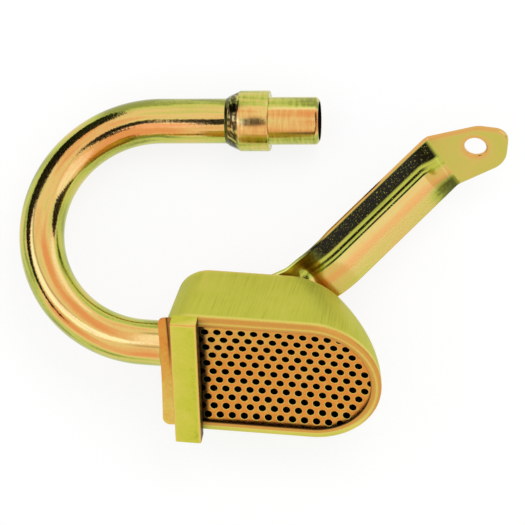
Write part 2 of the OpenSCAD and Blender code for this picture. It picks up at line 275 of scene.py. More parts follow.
# %% Loft the strainer cup
SHEET, LIP_W, LIP_ROUND, BACK_R, SCREEN_T = 1.2, 4.2, 2.0, 3.0, 1.0
WALL_LOW, WALL_TOP, INNER_TOP = BACK_R - DEPTH, -1.6, -2.6
LIP_FADES_FROM, LIP_FULL_FROM = -37, -30
PLATE_GAP, UNDER_BELOW, INNER_BELOW = 0.08, 0.4, 0.8
WALL_STEPS, INNER_STEPS = 14, 10
LIP_FACE = ((-0.05, 2.6), (-0.2, 3.3), (-0.45, 3.8), (-0.75, 4.1))
LIP_UNDERSIDE = ((-1.0, LIP_W), (-1.3, 4.05), (-1.5, 3.0), (-2.0, 1.5))
INNER_BACK = ((-34.2, 1.8), (-34.8, 3.2), (-34.8, 15))


def ease(x, low, high):
    k = min(1.0, max(0.0, (x - low) / (high - low)))
    return k * k * (3 - 2 * k)


def loft(rings, close_ends=True, join_last=False):
    """Quads between closed rings of equal length, with a flat face over each open end."""
    count = len(rings[0])
    points = [p for ring in rings for p in ring]
    pairs = list(zip(range(len(rings) - 1), range(1, len(rings))))
    if join_last:
        pairs.append((len(rings) - 1, 0))
    faces = []
    for a, b in pairs:
        for i in range(count):
            j = (i + 1) % count
            faces.append((a * count + i, a * count + j, b * count + j, b * count + i))
    if close_ends and not join_last:
        faces.append(tuple(range(count)))
        faces.append(tuple(reversed(range((len(rings) - 1) * count, len(rings) * count))))
    return points, faces


def stretched(z, top, full_top):
    """A height on a wall that ends at top instead of at full_top."""
    return WALL_LOW + (z - WALL_LOW) * (top - WALL_LOW) / (full_top - WALL_LOW)


def cup_ring(z, inset, zone):
    ring = []
    insets = (0, inset, min(inset, SHEET), SHEET * min(1.0, inset / LIP_W))
    for (fx, _), (lx, ly), (bx, by), (sx, sy) in zip(*[cup_outline(z, i) for i in insets]):
        lipped = ease(fx, LIP_FADES_FROM, LIP_FULL_FROM)
        edge = dish(bx, by, SCREEN_T) - PLATE_GAP
        if zone == "wall":
            ring.append((bx, by, stretched(z, edge + lipped * (WALL_TOP - edge), WALL_TOP)))
        elif zone == "inner":
            low = edge - INNER_BELOW
            ring.append((bx, by, stretched(z, low + lipped * (INNER_TOP - low), INNER_TOP)))
        elif zone == "back":
            ring.append((lx, ly, z))
        else:
            low = edge if zone == "front" else edge - UNDER_BELOW
            nx, ny = (sx, sy) if zone == "front" else (bx, by)
            ring.append((nx + lipped * (lx - nx), ny + lipped * (ly - ny),
                         low + lipped * (z - low)))
    return ring


quarter = [math.radians(15 * i) for i in range(7)]
cup_rings = [cup_ring(-DEPTH, inset, "back") for inset in (15, 9, 5)]
cup_rings += [cup_ring(BACK_R * (1 - math.cos(a)) - DEPTH, BACK_R * (1 - math.sin(a)), "back")
              for a in quarter]
cup_rings += [cup_ring(WALL_LOW + (WALL_TOP - WALL_LOW) * i / WALL_STEPS, 0, "wall")
              for i in range(1, WALL_STEPS + 1)]
cup_rings += [cup_ring(WALL_TOP * (1 - math.sin(a)), LIP_ROUND * (1 - math.cos(a)), "front")
              for a in quarter[1:]]
cup_rings += [cup_ring(z, inset, "front") for z, inset in LIP_FACE]
cup_rings += [cup_ring(z, inset, "under") for z, inset in LIP_UNDERSIDE]
cup_rings += [cup_ring(INNER_TOP + (WALL_LOW - INNER_TOP) * i / INNER_STEPS, SHEET, "inner")
              for i in range(INNER_STEPS + 1)]
cup_rings += [cup_ring(z, inset, "back") for z, inset in INNER_BACK]
print("cup drawn in", len(cup_rings), "rings of", len(cup_rings[0]), "points")

# %% [markdown]
# The film stands thicker along the back edge, where the liquid gathered, and along the lip. On the
# lip's high side the extra orange is a painted reflection, and its lighter crest a painted
# highlight.
# The cup's inside and a line under the lip, darker on the low side, are painted dark as shade. How
# far a point lies inside the outer wall tells lip, crest and inside apart. The drawing marks run
# down the wall, so grain is measured along the wall and into the cup.

# %% Paint the cup
GRAIN_MID_X = 12
cup_finish = plated("satin_cup_plating", (0.50, 0.50, 0.06), (0.70, 0.60, 0.13),
                    (0.62, 0.30, 0.06), rough=0.42, up_low=0.74, up_high=1.0, up_reflection_gain=0.3,
                    cloud=45, cloud_gain=0.3, grain=1700, grain_gain=0.36, drawn=(1, 1, 0.03),
                    metal=0.45)


def cup_inset(p):
    """How far a point lies inside the cup's outer wall."""
    r, mid_x, left_x, corner_r = cup_section(p.z)
    if p.x > mid_x:
        return r - math.hypot(p.x - mid_x, p.y)
    in_x, in_y = p.x - left_x, r - abs(p.y)
    if max(in_x, in_y) < corner_r:
        return corner_r - math.hypot(corner_r - in_x, corner_r - in_y)
    return min(in_x, in_y)


def cup_film(p):
    inset = cup_inset(p)
    high_side = ease(p.y + 0.5 * p.x, -14, 16)
    crest = ease(inset, 1.0, 1.6) * ease(-inset, -2.7, -2.1)
    # The high side's added orange is a painted reflection, and its lighter crest a painted
    # highlight.
    lip = 0.15 + 0.65 * high_side - 0.35 * crest * high_side + 0.5 * ease(inset, 2.6, 3.3)
    return 0.22 + ease(p.z, -2.2, -1.2) * lip + 0.6 * ease(-p.z, 32.6, 34.6)


def cup_painted_shade(p):
    inset = cup_inset(p)
    # Painted shade: the cup's inside, and a line under the lip, darker on the low side.
    inside = ease(inset, 1.0, 1.15) if -35.2 < p.z < -1.2 else 0.0
    lip_line = ease(inset, 3.85, 4.1) * ease(p.z, -1.6, -1.1)
    return max(inside, lip_line * (0.35 + 0.6 * ease(-p.y, -4, 8)))


def cup_grain(p):
    if p.x > GRAIN_MID_X:
        return NOSE_R * math.atan2(p.y, p.x - GRAIN_MID_X), 0, p.z
    past_nose = GRAIN_MID_X - p.x + NOSE_R - abs(p.y)
    return math.copysign(NOSE_R * math.pi / 2 + past_nose, p.y), 0, p.z


add_piece("strainer_cup", *loft(cup_rings), cup_finish, "plated_shell", "strainer_shell",
          film=cup_film, shade_and_residue=cup_painted_shade, grain=cup_grain)

# %% [markdown]
# The screen is a dished plate punched in staggered rows. Cutting holes with booleans leaves long
# thin faces that shade badly on a dish, so the plate is put together from small cells. A plate
# that knows its points by their place lets neighbouring cells share the points on their edges.

# %% Where the screen ends, and how its cells share points
PITCH, HOLE_R, HOLE_SHIFT, BAR_MID_X = 4.7625, 1.55, -0.7, -33.0
SCREEN_R, SCREEN_MID_X, SCREEN_LEFT, SCREEN_CORNER = 26.6, 14.0, -44.1, 3.0
KEYS_PER_MM, KEY_SHIFT = 500, 0.37


def inside_screen(x, y, room=0.0):
    return math.hypot(max(0.0, x - SCREEN_MID_X), y) < SCREEN_R - room


def onto_screen(x, y):
    past = max(0.0, x - SCREEN_MID_X)
    k = min(1.0, SCREEN_R / math.hypot(past, y)) if past or y else 1.0
    return (SCREEN_MID_X + k * past if past else x), k * y


class Plate:
    """Collects points by place, so that cells that meet share them."""

    def __init__(self):
        self.points, self.known, self.faces, self.drops = [], {}, [], []

    def at(self, x, y, drop):
        key = (*[math.floor(part * KEYS_PER_MM + KEY_SHIFT) for part in (x, y)], drop)
        if key not in self.known:
            self.known[key] = len(self.points)
            self.points.append((x, y, dish(x, y, drop)))
            self.drops.append(drop)
        return self.known[key]

    def face(self, *corners):
        kept = [v for k, v in enumerate(corners) if v != corners[k - 1]]
        if len(set(kept)) == len(kept) > 2:
            self.faces.append(kept)

    def strip(self, a, b):
        for i in range(len(a)):
            j = (i + 1) % len(a)
            self.face(a[i], a[j], b[j], b[i])


print("screen reaches from", SCREEN_LEFT, "to", SCREEN_MID_X + SCREEN_R, "mm")

# %% [markdown]
# Every hole is the middle of its own six-sided cell: ring after ring of points runs from the
# cell's edge to the hole, over its rounded rim and down its wall. A cell that is too near the
# edge, or under the bar, gets no hole, and its rings close on a point.

# %% Punch the screen, cell by cell
ROWS, COLUMNS, CELL_POINTS, LEAST_INSIDE = 7, 11, 24, 4
FIRST_HOLE_X, LAST_HOLE_Y, HOLE_ROOM = -29.5, 23, 0.3
HOLE_STEPS = ((0.28, 0.0), (0.14, 0.0), (-0.03, 0.02), (-0.09, 0.1), (-0.09, 0.98 * SCREEN_T))
plate = Plate()
cell_turns = [math.radians(30 + 60 * k) for k in range(6)]
cell_corner = [Vector((math.cos(a), math.sin(a))) * PITCH / math.sqrt(3) for a in cell_turns]
cell_edge = [cell_corner[k].lerp(cell_corner[(k + 1) % 6], i / 4)
             for k in range(6) for i in range(4)]
spokes = [math.atan2(p.y, p.x) for p in cell_edge]
holes = []


def punch(cx, cy, top, low):
    last = top
    for step, drop in HOLE_STEPS:
        r = HOLE_R + step
        ring = [plate.at(cx + r * math.cos(a), cy + r * math.sin(a), drop) for a in spokes]
        plate.strip(last, ring)
        last = ring
    plate.strip(last, low)


def fill(cell, ring, drop):
    mid_x, mid_y = (sum(part) / CELL_POINTS for part in zip(*cell))
    for k in (0.75, 0.5, 0.25):
        inner = [plate.at(mid_x + k * (x - mid_x), mid_y + k * (y - mid_y), drop)
                 for x, y in cell]
        plate.strip(ring, inner)
        ring = inner
    middle = plate.at(mid_x, mid_y, drop)
    for i in range(CELL_POINTS):
        plate.face(ring[i], ring[(i + 1) % CELL_POINTS], middle)


for row in range(-ROWS, ROWS + 1):
    for column in range(-COLUMNS, COLUMNS + 1):
        cx = (column + (0.5 if row % 2 else 0)) * PITCH
        cy = row * PITCH * math.sqrt(3) / 2 + HOLE_SHIFT
        inside = sum(inside_screen(cx + p.x, cy + p.y) for p in cell_edge)
        if cx < BAR_MID_X - 1 or inside < LEAST_INSIDE:
            continue
        cell = [onto_screen(cx + p.x, cy + p.y) for p in cell_edge]
        top = [plate.at(x, y, 0.0) for x, y in cell]
        low = [plate.at(x, y, SCREEN_T) for x, y in cell]
        has_room = inside_screen(cx, cy, HOLE_R + HOLE_ROOM) and abs(cy) < LAST_HOLE_Y
        if cx > FIRST_HOLE_X and has_room:
            holes.append(Vector((cx, cy)))
            punch(cx, cy, top, low)
        else:
            fill(cell, top, 0.0)
            fill(cell, low, SCREEN_T)
print("holes punched:", len(holes))

# %% [markdown]
# The end by the tube is plain. A grid that starts under the bar makes it, a hair lower than the
# cells, so that the two never share a face. Edges that belong to one face only are the plate's
# outline, and each of them gets a wall down to the underside.

# %% Add the plain end and close the edges
PLAIN_DROP, PLAIN_STEP, PLAIN_ROWS, HALF_ACROSS = 0.02, 0.6, 13, 45
PLAIN_START = BAR_MID_X - 0.3
plain_x = [PLAIN_START - PLAIN_STEP * i for i in range(PLAIN_ROWS)]
plain_x += [SCREEN_LEFT + SCREEN_CORNER * (1 - math.sin(math.radians(10 * i))) for i in range(10)]
plain_lines = []
for x in plain_x:
    cut = min(1.0, max(0.0, (SCREEN_LEFT + SCREEN_CORNER - x) / SCREEN_CORNER))
    wide = SCREEN_R - SCREEN_CORNER * (1 - math.sqrt(1 - cut * cut))
    plain_lines.append([(x, wide * (i / HALF_ACROSS - 1)) for i in range(2 * HALF_ACROSS + 1)])
for drop in (PLAIN_DROP, PLAIN_DROP + SCREEN_T):
    grid = [[plate.at(x, y, drop) for x, y in line] for line in plain_lines]
    for before, after in zip(grid, grid[1:]):
        for i in range(2 * HALF_ACROSS):
            plate.face(before[i], before[i + 1], after[i + 1], after[i])
owners = {}
for face in plate.faces:
    for k, v in enumerate(face):
        pair = frozenset((v, face[k - 1]))
        owners[pair] = owners.get(pair, 0) + 1
for a, b in [tuple(pair) for pair, count in owners.items() if count == 1]:
    drop = plate.drops[a]
    if drop == plate.drops[b] < SCREEN_T / 2:
        under_a, under_b = (plate.at(*plate.points[v][:2], drop + SCREEN_T) for v in (a, b))
        plate.face(a, b, under_b, under_a)
print("plate of", len(plate.points), "points")

# %% [markdown]
# The screen dried orange. A paler ring around each hole, strongest on its lower left, is a painted
# highlight on the edge that the punch left. The holes' walls, the corner under the bar, and a band
# beside the bar with a thin darker line in it are painted dark as shade.

# %% Paint the screen
screen_finish = plated("orange_screen_plating", (0.74, 0.55, 0.12), (0.72, 0.42, 0.08),
                       (0.72, 0.26, 0.04), rough=0.34, cloud=150, cloud_gain=0.7)


def screen_film(p):
    if p.x < BAR_MID_X:
        return 0.3 + 0.55 * ease(p.y, -20, 12)
    spot = Vector((p.x, p.y))
    near = min(holes, key=lambda mid: (mid - spot).length_squared)
    out = spot - near
    lit_side = 0.55 + 0.45 * ease(-out.x - out.y, -1.5, 1.5)
    # The paler ring, strongest on the lower left, is a painted highlight on the punched edge.
    ring = ease(HOLE_R + 0.3 - out.length, 0.0, 0.2) * lit_side
    high_side = ease(p.y - 0.4 * p.x, 8, 34)
    return 0.95 - 0.25 * high_side - 0.8 * ring + 0.2 * noise.noise(0.5 * p)


def screen_painted_shade(p):
    # Painted shade in the holes' walls, under the bar, in a band beside the bar and along a thin
    # line.
    spot = Vector((p.x, p.y))
    near = min((mid - spot).length for mid in holes)
    hole_shade = ease(dish(p.x, p.y) - p.z, 0.05, 0.1) * ease(HOLE_R + 0.2 - near, 0.0, 0.1)
    under_bar_shade = ease(-p.x, 25.6, 26.6) * ease(p.x, -30.0, -29.0)
    beside_bar_shade = 0.45 * ease(1.8 - abs(p.x + 39.2), 0.0, 1.4) * ease(p.y, -10, 18)
    gap_shadow = 0.95 * ease(0.75 - abs(p.x + 40.4), 0.0, 0.5) * ease(p.y, -6, 16)
    return max(hole_shade, 0.95 * under_bar_shade, beside_bar_shade, gap_shadow)


add_piece("perforated_screen", plate.points, plate.faces, screen_finish, "plated_screen",
          "strainer_screen", sharp=60, film=screen_film, shade_and_residue=screen_painted_shade)

# %% [markdown]
# The standoff bar keeps the screen off the floor of the sump. It is a length of cold-drawn bar
# with slightly broken edges. A short loft of rounded rectangles along its length gives edges
# that catch the light, and the two ends step in by the same small radius.

# %% Loft the standoff bar
BAR_X, BAR_W, BAR_T, BAR_END = -38.1, 10.2, 6.2, 29.5
FRONT_EDGE_R, BACK_EDGE_R, END_EDGE_R = 0.7, 0.35, 0.3
BAR_CORNERS = ((1, 0, -90, BACK_EDGE_R), (1, 1, 0, FRONT_EDGE_R),
               (0, 1, 90, FRONT_EDGE_R), (0, 0, 180, BACK_EDGE_R))
BAR_SPAN, BAR_STEPS, NEAR_END, BESIDE_CORNER = 54, 12, (28.0, 28.6), (0.5, 1.2)


def bar_ring(y, inset):
    """A rounded rectangle with two more points beside each corner, to hold the painted edges."""
    ring = []
    for right, front, start, r in BAR_CORNERS:
        mid_x, mid_z = BAR_X + (BAR_W - r if right else r), BAR_T - r if front else r
        turn = [math.radians(start + 15 * i) for i in range(7)]
        ring += [(mid_x + (r - inset) * math.cos(a), y, mid_z + (r - inset) * math.sin(a))
                 for a in turn]
        onward = turn[-1] + math.pi / 2
        end_x, _, end_z = ring[-1]
        ring += [(end_x + k * math.cos(onward), y, end_z + k * math.sin(onward))
                 for k in BESIDE_CORNER]
    return ring


end_steps = [(BAR_END - END_EDGE_R * (1 - math.cos(a)), END_EDGE_R * (1 - math.sin(a)))
             for a in quarter]
bar_rings = [bar_ring(-y, inset) for y, inset in end_steps]
bar_rings += [bar_ring(-y, 0) for y in reversed(NEAR_END)]
bar_rings += [bar_ring(BAR_SPAN * (i / BAR_STEPS - 0.5), 0) for i in range(BAR_STEPS + 1)]
bar_rings += [bar_ring(y, 0) for y in NEAR_END]
bar_rings += [bar_ring(y, inset) for y, inset in reversed(end_steps)]
bar_finish = plated("satin_bar_plating", (0.56, 0.54, 0.05), (0.72, 0.60, 0.12),
                    (0.80, 0.38, 0.09), rough=0.38, up_low=0.78, up_high=1.0, up_reflection_gain=0.2,
                    cloud=90, metal=0.6)


def bar_film(p):
    from_edge = min(abs(p.x - BAR_X), abs(p.x - BAR_X - BAR_W))
    front_edge = ease(p.z, BAR_T - 1.0, BAR_T - 0.6) * ease(-from_edge, -0.9, -0.2)
    end_edge = ease(p.y, BAR_END - 1.2, BAR_END - 0.3) * ease(p.z, BAR_T - 1.2, BAR_T - 0.2)
    return 0.2 + 0.6 * max(front_edge, end_edge)


# The bar's side face towards the holes is painted dark below its front edge, as shade.
def bar_side_shade(p):
    right_x = BAR_X + BAR_W
    return 0.95 * ease(p.x, right_x - 0.3, right_x - 0.02) * ease(BAR_T - p.z, 0.3, 0.8)


add_piece("cross_bar", *loft(bar_rings), bar_finish, "plated_bar", "standoff_bar",
          film=bar_film, shade_and_residue=bar_side_shade)

# %% [markdown]
# The suction tube is one length of drawn tube bent once on a bender. A curve with a bevel would
# do, but a sweep with its own rings keeps both walls and the exact bend: a straight lead out of
# the strainer, an arc of 176 degrees in a plane tilted behind the screen, and a straight leg.

# %% Sweep the suction tube
TUBE_R, TUBE_WALL, BEND_R, BEND_ANGLE, BEND_TILT = 9.0, 1.25, 46.1, 176.0, 55.0
LEAD_L, LEG_L, BEND_X, TUBE_Z = 17.1, 38.5, END_X - 10.9, -18.0
LEAD_STEPS, BEND_STEPS, LEG_STEPS, AROUND = 6, 132, 12, 144
TILTED = Matrix.Rotation(math.radians(-BEND_TILT), 4, "X")
IN_BEND = Matrix.Translation((BEND_X, 0, TUBE_Z)) @ TILTED
LEG_HEADING = math.radians(180 - BEND_ANGLE)


def tube_line():
    """Points along the tube's middle, each with its direction, in the bend's own plane."""
    line = [((LEAD_L - LEAD_L * i / LEAD_STEPS, 0.0), math.pi) for i in range(LEAD_STEPS)]
    for i in range(BEND_STEPS + 1):
        a = math.radians(BEND_ANGLE * i / BEND_STEPS)
        line.append(((-BEND_R * math.sin(a), BEND_R - BEND_R * math.cos(a)), math.pi - a))
    (ex, ey), _ = line[-1]
    for i in range(1, LEG_STEPS + 1):
        s = LEG_L * i / LEG_STEPS
        spot = ex + s * math.cos(LEG_HEADING), ey + s * math.sin(LEG_HEADING)
        line.append((spot, LEG_HEADING))
    return line


def tube_ring(spot, heading, r):
    side = Vector((-math.sin(heading), math.cos(heading), 0))
    ring = []
    for i in range(AROUND):
        a = math.radians(360 * i / AROUND)
        arm = r * (math.cos(a) * side + math.sin(a) * Vector((0, 0, 1)))
        ring.append(IN_BEND @ (Vector((*spot, 0)) + arm))
    return ring


tube_rings = [tube_ring(spot, heading, TUBE_R) for spot, heading in tube_line()]
tube_rings += [tube_ring(spot, heading, TUBE_R - TUBE_WALL)
               for spot, heading in reversed(tube_line())]
print("tube swept in", len(tube_rings), "rings")

# %% [markdown]
# Streaks along the tube are easiest to place by two numbers: how far round the bend a point is,
# in degrees, and how far to the side of the tube it is, from -1 inside the bend to 1 outside, as
# seen from above with the part lying down. On the straight ends the degrees simply go on.

# %% Find a place on the tube
OUT_OF_BEND = IN_BEND.inverted()
UP = (UNLAID.to_3x3() @ Vector((0.13, -0.11, 0.985))).normalized()
PER_DEGREE = BEND_R * math.pi / 180


def tube_middle(turn):
    """The tube's middle and direction at a turn in degrees."""
    a = math.radians(min(BEND_ANGLE, max(0.0, turn)))
    along = Vector((-math.cos(a), math.sin(a), 0))
    past = (turn - math.degrees(a)) * PER_DEGREE
    middle = Vector((-BEND_R * math.sin(a), BEND_R - BEND_R * math.cos(a), 0)) + past * along
    return IN_BEND @ middle, (IN_BEND.to_3x3() @ along).normalized()


def tube_sides(along):
    """Across the tube, outwards from the bend, and up, both square to the tube."""
    across = UP.cross(along).normalized()
    return across, along.cross(across)


def tube_place(p):
    q = OUT_OF_BEND @ p
    if q.x > 0:
        turn = -q.x / PER_DEGREE if q.y < BEND_R else BEND_ANGLE + q.x / PER_DEGREE
    else:
        turn = math.degrees(math.atan2(-q.x, BEND_R - q.y))
    middle, along = tube_middle(turn)
    across, _ = tube_sides(along)
    arm = p - middle
    return turn, arm.normalized().dot(across), arm.length


def patch(a, u, a_low, a_high, u_low, u_high, soft_a=14.0, soft_u=0.09):
    """1 between two turns and two sides, with soft edges."""
    return (ease(a, a_low - soft_a, a_low + soft_a) * ease(-a, -a_high - soft_a, soft_a - a_high)
            * ease(u, u_low - soft_u, u_low + soft_u) * ease(-u, -u_high - soft_u, soft_u - u_high))


print("a degree of the bend is", round(PER_DEGREE, 3), "mm long")

# %% [markdown]
# The film is painted in long streaks along the tube: gold on top and orange where it gathered. Lime
# along both sides, as seen from above, is a painted sheen. Thin dark lines along the streaks are
# painted dark reflections, and the tube's inside is painted dark as shade.

# %% Paint the tube's streaks
LIME, GOLD, ORANGE = (0.50, 0.53, 0.09), (0.79, 0.54, 0.17), (0.76, 0.30, 0.08)
tube_finish = plated("bright_tube_plating", LIME, GOLD, ORANGE, rough=0.11, cloud=38, grain=1000)


def tube_film(p):
    a, u, _ = tube_place(p)
    u += 0.09 * noise.noise((a * 0.045, u * 2.5, 7.0))
    # Lime along both sides, as seen from above, is a painted sheen.
    thick = 0.52 - 0.34 * max(ease(u, 0.5, 0.72), ease(-u, 0.55, 0.75))
    thick += 0.45 * patch(a, u, 128, 195, -0.58, -0.12) + 0.3 * patch(a, u, 115, 165, 0.1, 0.42)
    thick += 0.4 * patch(a, u, -12, 45, 0.38, 0.6) + 0.4 * patch(a, u, 8, 85, -0.34, -0.04)
    thick -= 0.16 * patch(a, u, 150, 230, 0.3, 1.2, soft_u=0.15)
    return thick + 0.3 * noise.noise((a * 0.04, u * 8, 1.0))


def tube_reflections_and_shade(p):
    a, u, out = tube_place(p)
    # The tube's inside is painted dark as shade, and the thin lines below are painted dark
    # reflections.
    if out < TUBE_R - 0.5:
        return 1.0
    beside_wedge = u - 0.08 - 0.35 * (a - 36) / 66
    under_wedge = patch(a, beside_wedge, 36, 104, -0.02, 0.02, 8, 0.04)
    inner_line = patch(a, u, 125, 182, -0.71, -0.66, 8, 0.05)
    lead_lines = max(patch(a, u, -20, -1, -0.43, -0.40, 4, 0.05),
                     patch(a, u, -20, 3, 0.15, 0.18, 6, 0.05))
    return max(0.7 * under_wedge, 0.7 * inner_line, 0.9 * lead_lines)


add_piece("suction_tube", *loft(tube_rings, join_last=True), tube_finish, "plated_tube",
          "pickup_tube", film=tube_film, shade_and_residue=tube_reflections_and_shade)

# %% [markdown]
# The pump fitting is turned from bar: a cone that takes the tube, a collar and a chamfered spigot
# that is pressed into the pump. A turned piece is a profile spun about its axis. The profile lists
# radius and distance along the tube, with short steps at every edge so that none is razor sharp.

# %% Spin the pump fitting
TUBE_REACH, SPIN_STEPS = 27.5, 96
CONE = [(10.0 + 0.473 * k, 0.2 + k) for k in (0, 0.6, 1.2, 1.8, 2.4, 3.0)]
COLLAR = [(11.75, 3.9), (12.05, 4.35), (12.15, 4.8), (12.15, 15.7), (12.05, 16.1), (11.75, 16.3)]
SPIGOT = [(9.825, 16.3), (9.6, 16.4), (9.525, 16.6), (9.525, 34.7), (9.35, 35.1), (8.5, 35.95),
          (8.2, 36.1)]
BORE = [(7.85, 36.1), (7.75, 35.95), (7.75, 11.0), (9.05, 11.0)]
FITTING = [(9.05, 0), (9.75, 0)] + CONE + COLLAR + SPIGOT + BORE
BEND_TURN = math.radians(BEND_ANGLE)
LEG_START = Vector((-BEND_R * math.sin(BEND_TURN), BEND_R - BEND_R * math.cos(BEND_TURN), 0))
ON_LEG = (IN_BEND @ Matrix.Translation(LEG_START) @ Matrix.Rotation(LEG_HEADING, 4, "Z")
          @ Matrix.Translation((TUBE_REACH, 0, 0)))
OFF_LEG = ON_LEG.inverted()


def spun_ring(r, along, axis, wobble=0.0):
    ring = []
    for i in range(SPIN_STEPS):
        a = math.radians(360 * i / SPIN_STEPS)
        k = r + wobble * noise.noise((3 * math.cos(a), 3 * math.sin(a), along))
        ring.append(axis @ Vector((along, k * math.cos(a), k * math.sin(a))))
    return ring


def spun(profile, axis, wobble=0.0):
    return loft([spun_ring(r, along, axis, wobble) for r, along in profile], join_last=True)


fitting_finish = plated("turned_plating", LIME, (0.82, 0.56, 0.18), ORANGE, rough=0.22, cloud=80,
                        grain=900, grain_gain=0.6, drawn=(1, 0.15, 0.15))


# The bore is painted dark as shade, and the cone is mottled dark.
def fitting_mottle_and_shade(p):
    q = OFF_LEG @ p
    mottle = ease(noise.noise(0.9 * q), -0.35, 0.05)
    on_cone = ease(q.x, -0.6, 0.3) * ease(-q.x, -4.6, -3.6) * mottle
    return 0.92 * on_cone + 0.95 * ease(-math.hypot(q.y, q.z), -8.3, -7.9)


def fitting_film(p):
    q = OFF_LEG @ p
    middle, along = tube_middle(BEND_ANGLE + 30)
    arm = p - middle
    side = (arm - arm.dot(along) * along).normalized().dot(tube_sides(along)[0])
    spread = 0.45 * ease(side, -0.7, -0.5) * ease(-side, -0.62, -0.3)
    clouds = 0.3 * noise.noise(0.35 * q) + 0.2 * noise.noise(1.2 * q)
    return 0.18 + spread + 0.35 * ease(q.x, 16, 18) * spread + clouds


add_piece("press_in_fitting", *spun(FITTING, ON_LEG), fitting_finish, "plated_fitting",
          "pump_fitting", sharp=30, film=fitting_film, shade_and_residue=fitting_mottle_and_shade,
          grain=lambda p: OFF_LEG @ p)

# %% [markdown]
# The stay is a pressed strap: a foot on the cup's back, a wide bend, a slope stiffened by a rounded
# V-shaped trough, a tight bend and a flat tab with the bolt hole. Stations along the strap say how
# far along and down it is, how steep, how deep the trough is pressed there and how much is trimmed
# off the foot's outer side.

# %% Lay out the strap's stations
STAY_W, STAY_T, STAY_HEADING, STAY_OFFSET, STAY_REACH = 24.8, 2.0, 32.4, 13.0, 25.5
SLOPE_L, SLOPE, FOOT_BEND_R, TAB_BEND_R = 66.1, math.radians(41.9), 31.0, 4.0
FOOT_L, FOOT_TRIM, TAB_L, TROUGH_FADE, NOSE_LEAN = 34.0, 3.0, 15.9, 7.0, 16.3
FOOT_STEPS, WIDE_STEPS, SLOPE_STEPS, TIGHT_STEPS = 6, 24, 72, 12
BACK_MID_X = NOSE_X - NOSE_LEAN - (NOSE_R - SIDE_LEAN)
ON_BACK = (Matrix.Translation((BACK_MID_X, 0, -DEPTH - STAY_T / 2))
           @ Matrix.Rotation(math.radians(STAY_HEADING), 4, "Z")
           @ Matrix.Translation((STAY_REACH, STAY_OFFSET, 0)))
OFF_BACK = ON_BACK.inverted()
FOOT_TAN, TAB_TAN = FOOT_BEND_R * math.tan(SLOPE / 2), TAB_BEND_R * math.tan(SLOPE / 2)
RUN, DROP = SLOPE_L * math.cos(SLOPE), SLOPE_L * math.sin(SLOPE)
FREE = SLOPE_L - FOOT_TAN - TAB_TAN
TAB_START, TAB_HOLE_X = RUN + TAB_TAN, RUN + TAB_L


def fade(s):
    return ease(s, 0, TROUGH_FADE)


stations = [((FOOT_L - FOOT_TAN) * i / FOOT_STEPS - FOOT_L, 0, 0, 0, 1) for i in range(FOOT_STEPS)]
for i in range(WIDE_STEPS):
    a = SLOPE * i / WIDE_STEPS
    stations.append((FOOT_BEND_R * math.sin(a) - FOOT_TAN, FOOT_BEND_R * (1 - math.cos(a)), a,
                     fade(FOOT_BEND_R * a), 1 - i / WIDE_STEPS))
for i in range(SLOPE_STEPS + 1):
    s = FREE * i / SLOPE_STEPS
    t = FOOT_TAN + s
    stations.append((t * math.cos(SLOPE), t * math.sin(SLOPE), SLOPE,
                     fade(FOOT_BEND_R * SLOPE + s) * fade(FREE - s), 0))
for i in range(TIGHT_STEPS - 1, -1, -1):
    a = SLOPE * i / TIGHT_STEPS
    stations.append((TAB_START - TAB_BEND_R * math.sin(a), DROP - TAB_BEND_R * (1 - math.cos(a)),
                     a, 0, 0))
print("strap stations:", len(stations), "slope", round(FREE, 1), "mm free of the bends")

# %% [markdown]
# At each station a ring of points runs across the strap and back underneath, with two small
# bevels at each side. The trough lowers the ring's middle. Its section is a hyperbola, which is
# round at the floor and straight up both wings, as a V-shaped punch leaves it.

# %% Loft the strap
TROUGH, TROUGH_ROUND, EDGE, ACROSS = 4.7, 3.0, 0.4, 96
half = STAY_T / 2
widths = [i / ACROSS for i in range(ACROSS + 1)]


def trough(v):
    deep = math.hypot(STAY_W / 2, TROUGH_ROUND)
    return TROUGH * (math.hypot(v, TROUGH_ROUND) - deep) / (deep - TROUGH_ROUND)


def strap_point(station, v, n):
    along, down, angle, press, _ = station
    lift = n + press * trough(v)
    return ON_BACK @ Vector((along + lift * math.sin(angle), v, -down + lift * math.cos(angle)))


def strap_ring(station):
    low, high = -STAY_W / 2, STAY_W / 2 - station[4] * FOOT_TRIM
    upper = [low + EDGE + (high - low - 2 * EDGE) * w for w in widths]
    ring = [strap_point(station, v, half) for v in upper]
    ring += [strap_point(station, high, half - EDGE), strap_point(station, high, EDGE - half)]
    ring += [strap_point(station, v, -half) for v in reversed(upper)]
    ring += [strap_point(station, low, EDGE - half), strap_point(station, low, half - EDGE)]
    return ring


strap_rings = [strap_ring(s) for s in stations]
strap_points, strap_faces = loft(strap_rings, close_ends=False)
strap_faces.append(tuple(range(len(strap_rings[0]))))
print("strap rings of", len(strap_rings[0]), "points")

# %% [markdown]
# The tab's outline is drawn as a press tool maker would: one large arc beside the hole, a small
# blunt arc at the tip, and straight lines that touch both. Every point of the outline keeps the
# direction that leads outwards there, so that the edge can be bevelled.

# %% Draw the tab's outline
SIDE_PARTS, TIP_PARTS, RIGHT_PARTS, NOSE_PARTS, LEFT_PARTS = 18, 6, 24, 28, 10
round_r, blunt_r = 10.4, 5.4
round_mid = Vector((TAB_HOLE_X + 1.2, round_r - STAY_W / 2))
blunt_mid = Vector((TAB_HOLE_X + 8.2, -1.0))


def tab_arc(mid, r, start, end, steps):
    turn = [math.radians(start + (end - start) * i / steps) for i in range(steps + 1)]
    outwards = [Vector((math.cos(a), math.sin(a))) for a in turn]
    return [(mid + r * out, out) for out in outwards]


def tab_side(start, end, steps):
    (p, out_p), (q, out_q) = start, end
    return [(p.lerp(q, i / steps), out_p.lerp(out_q, i / steps).normalized())
            for i in range(1, steps)]


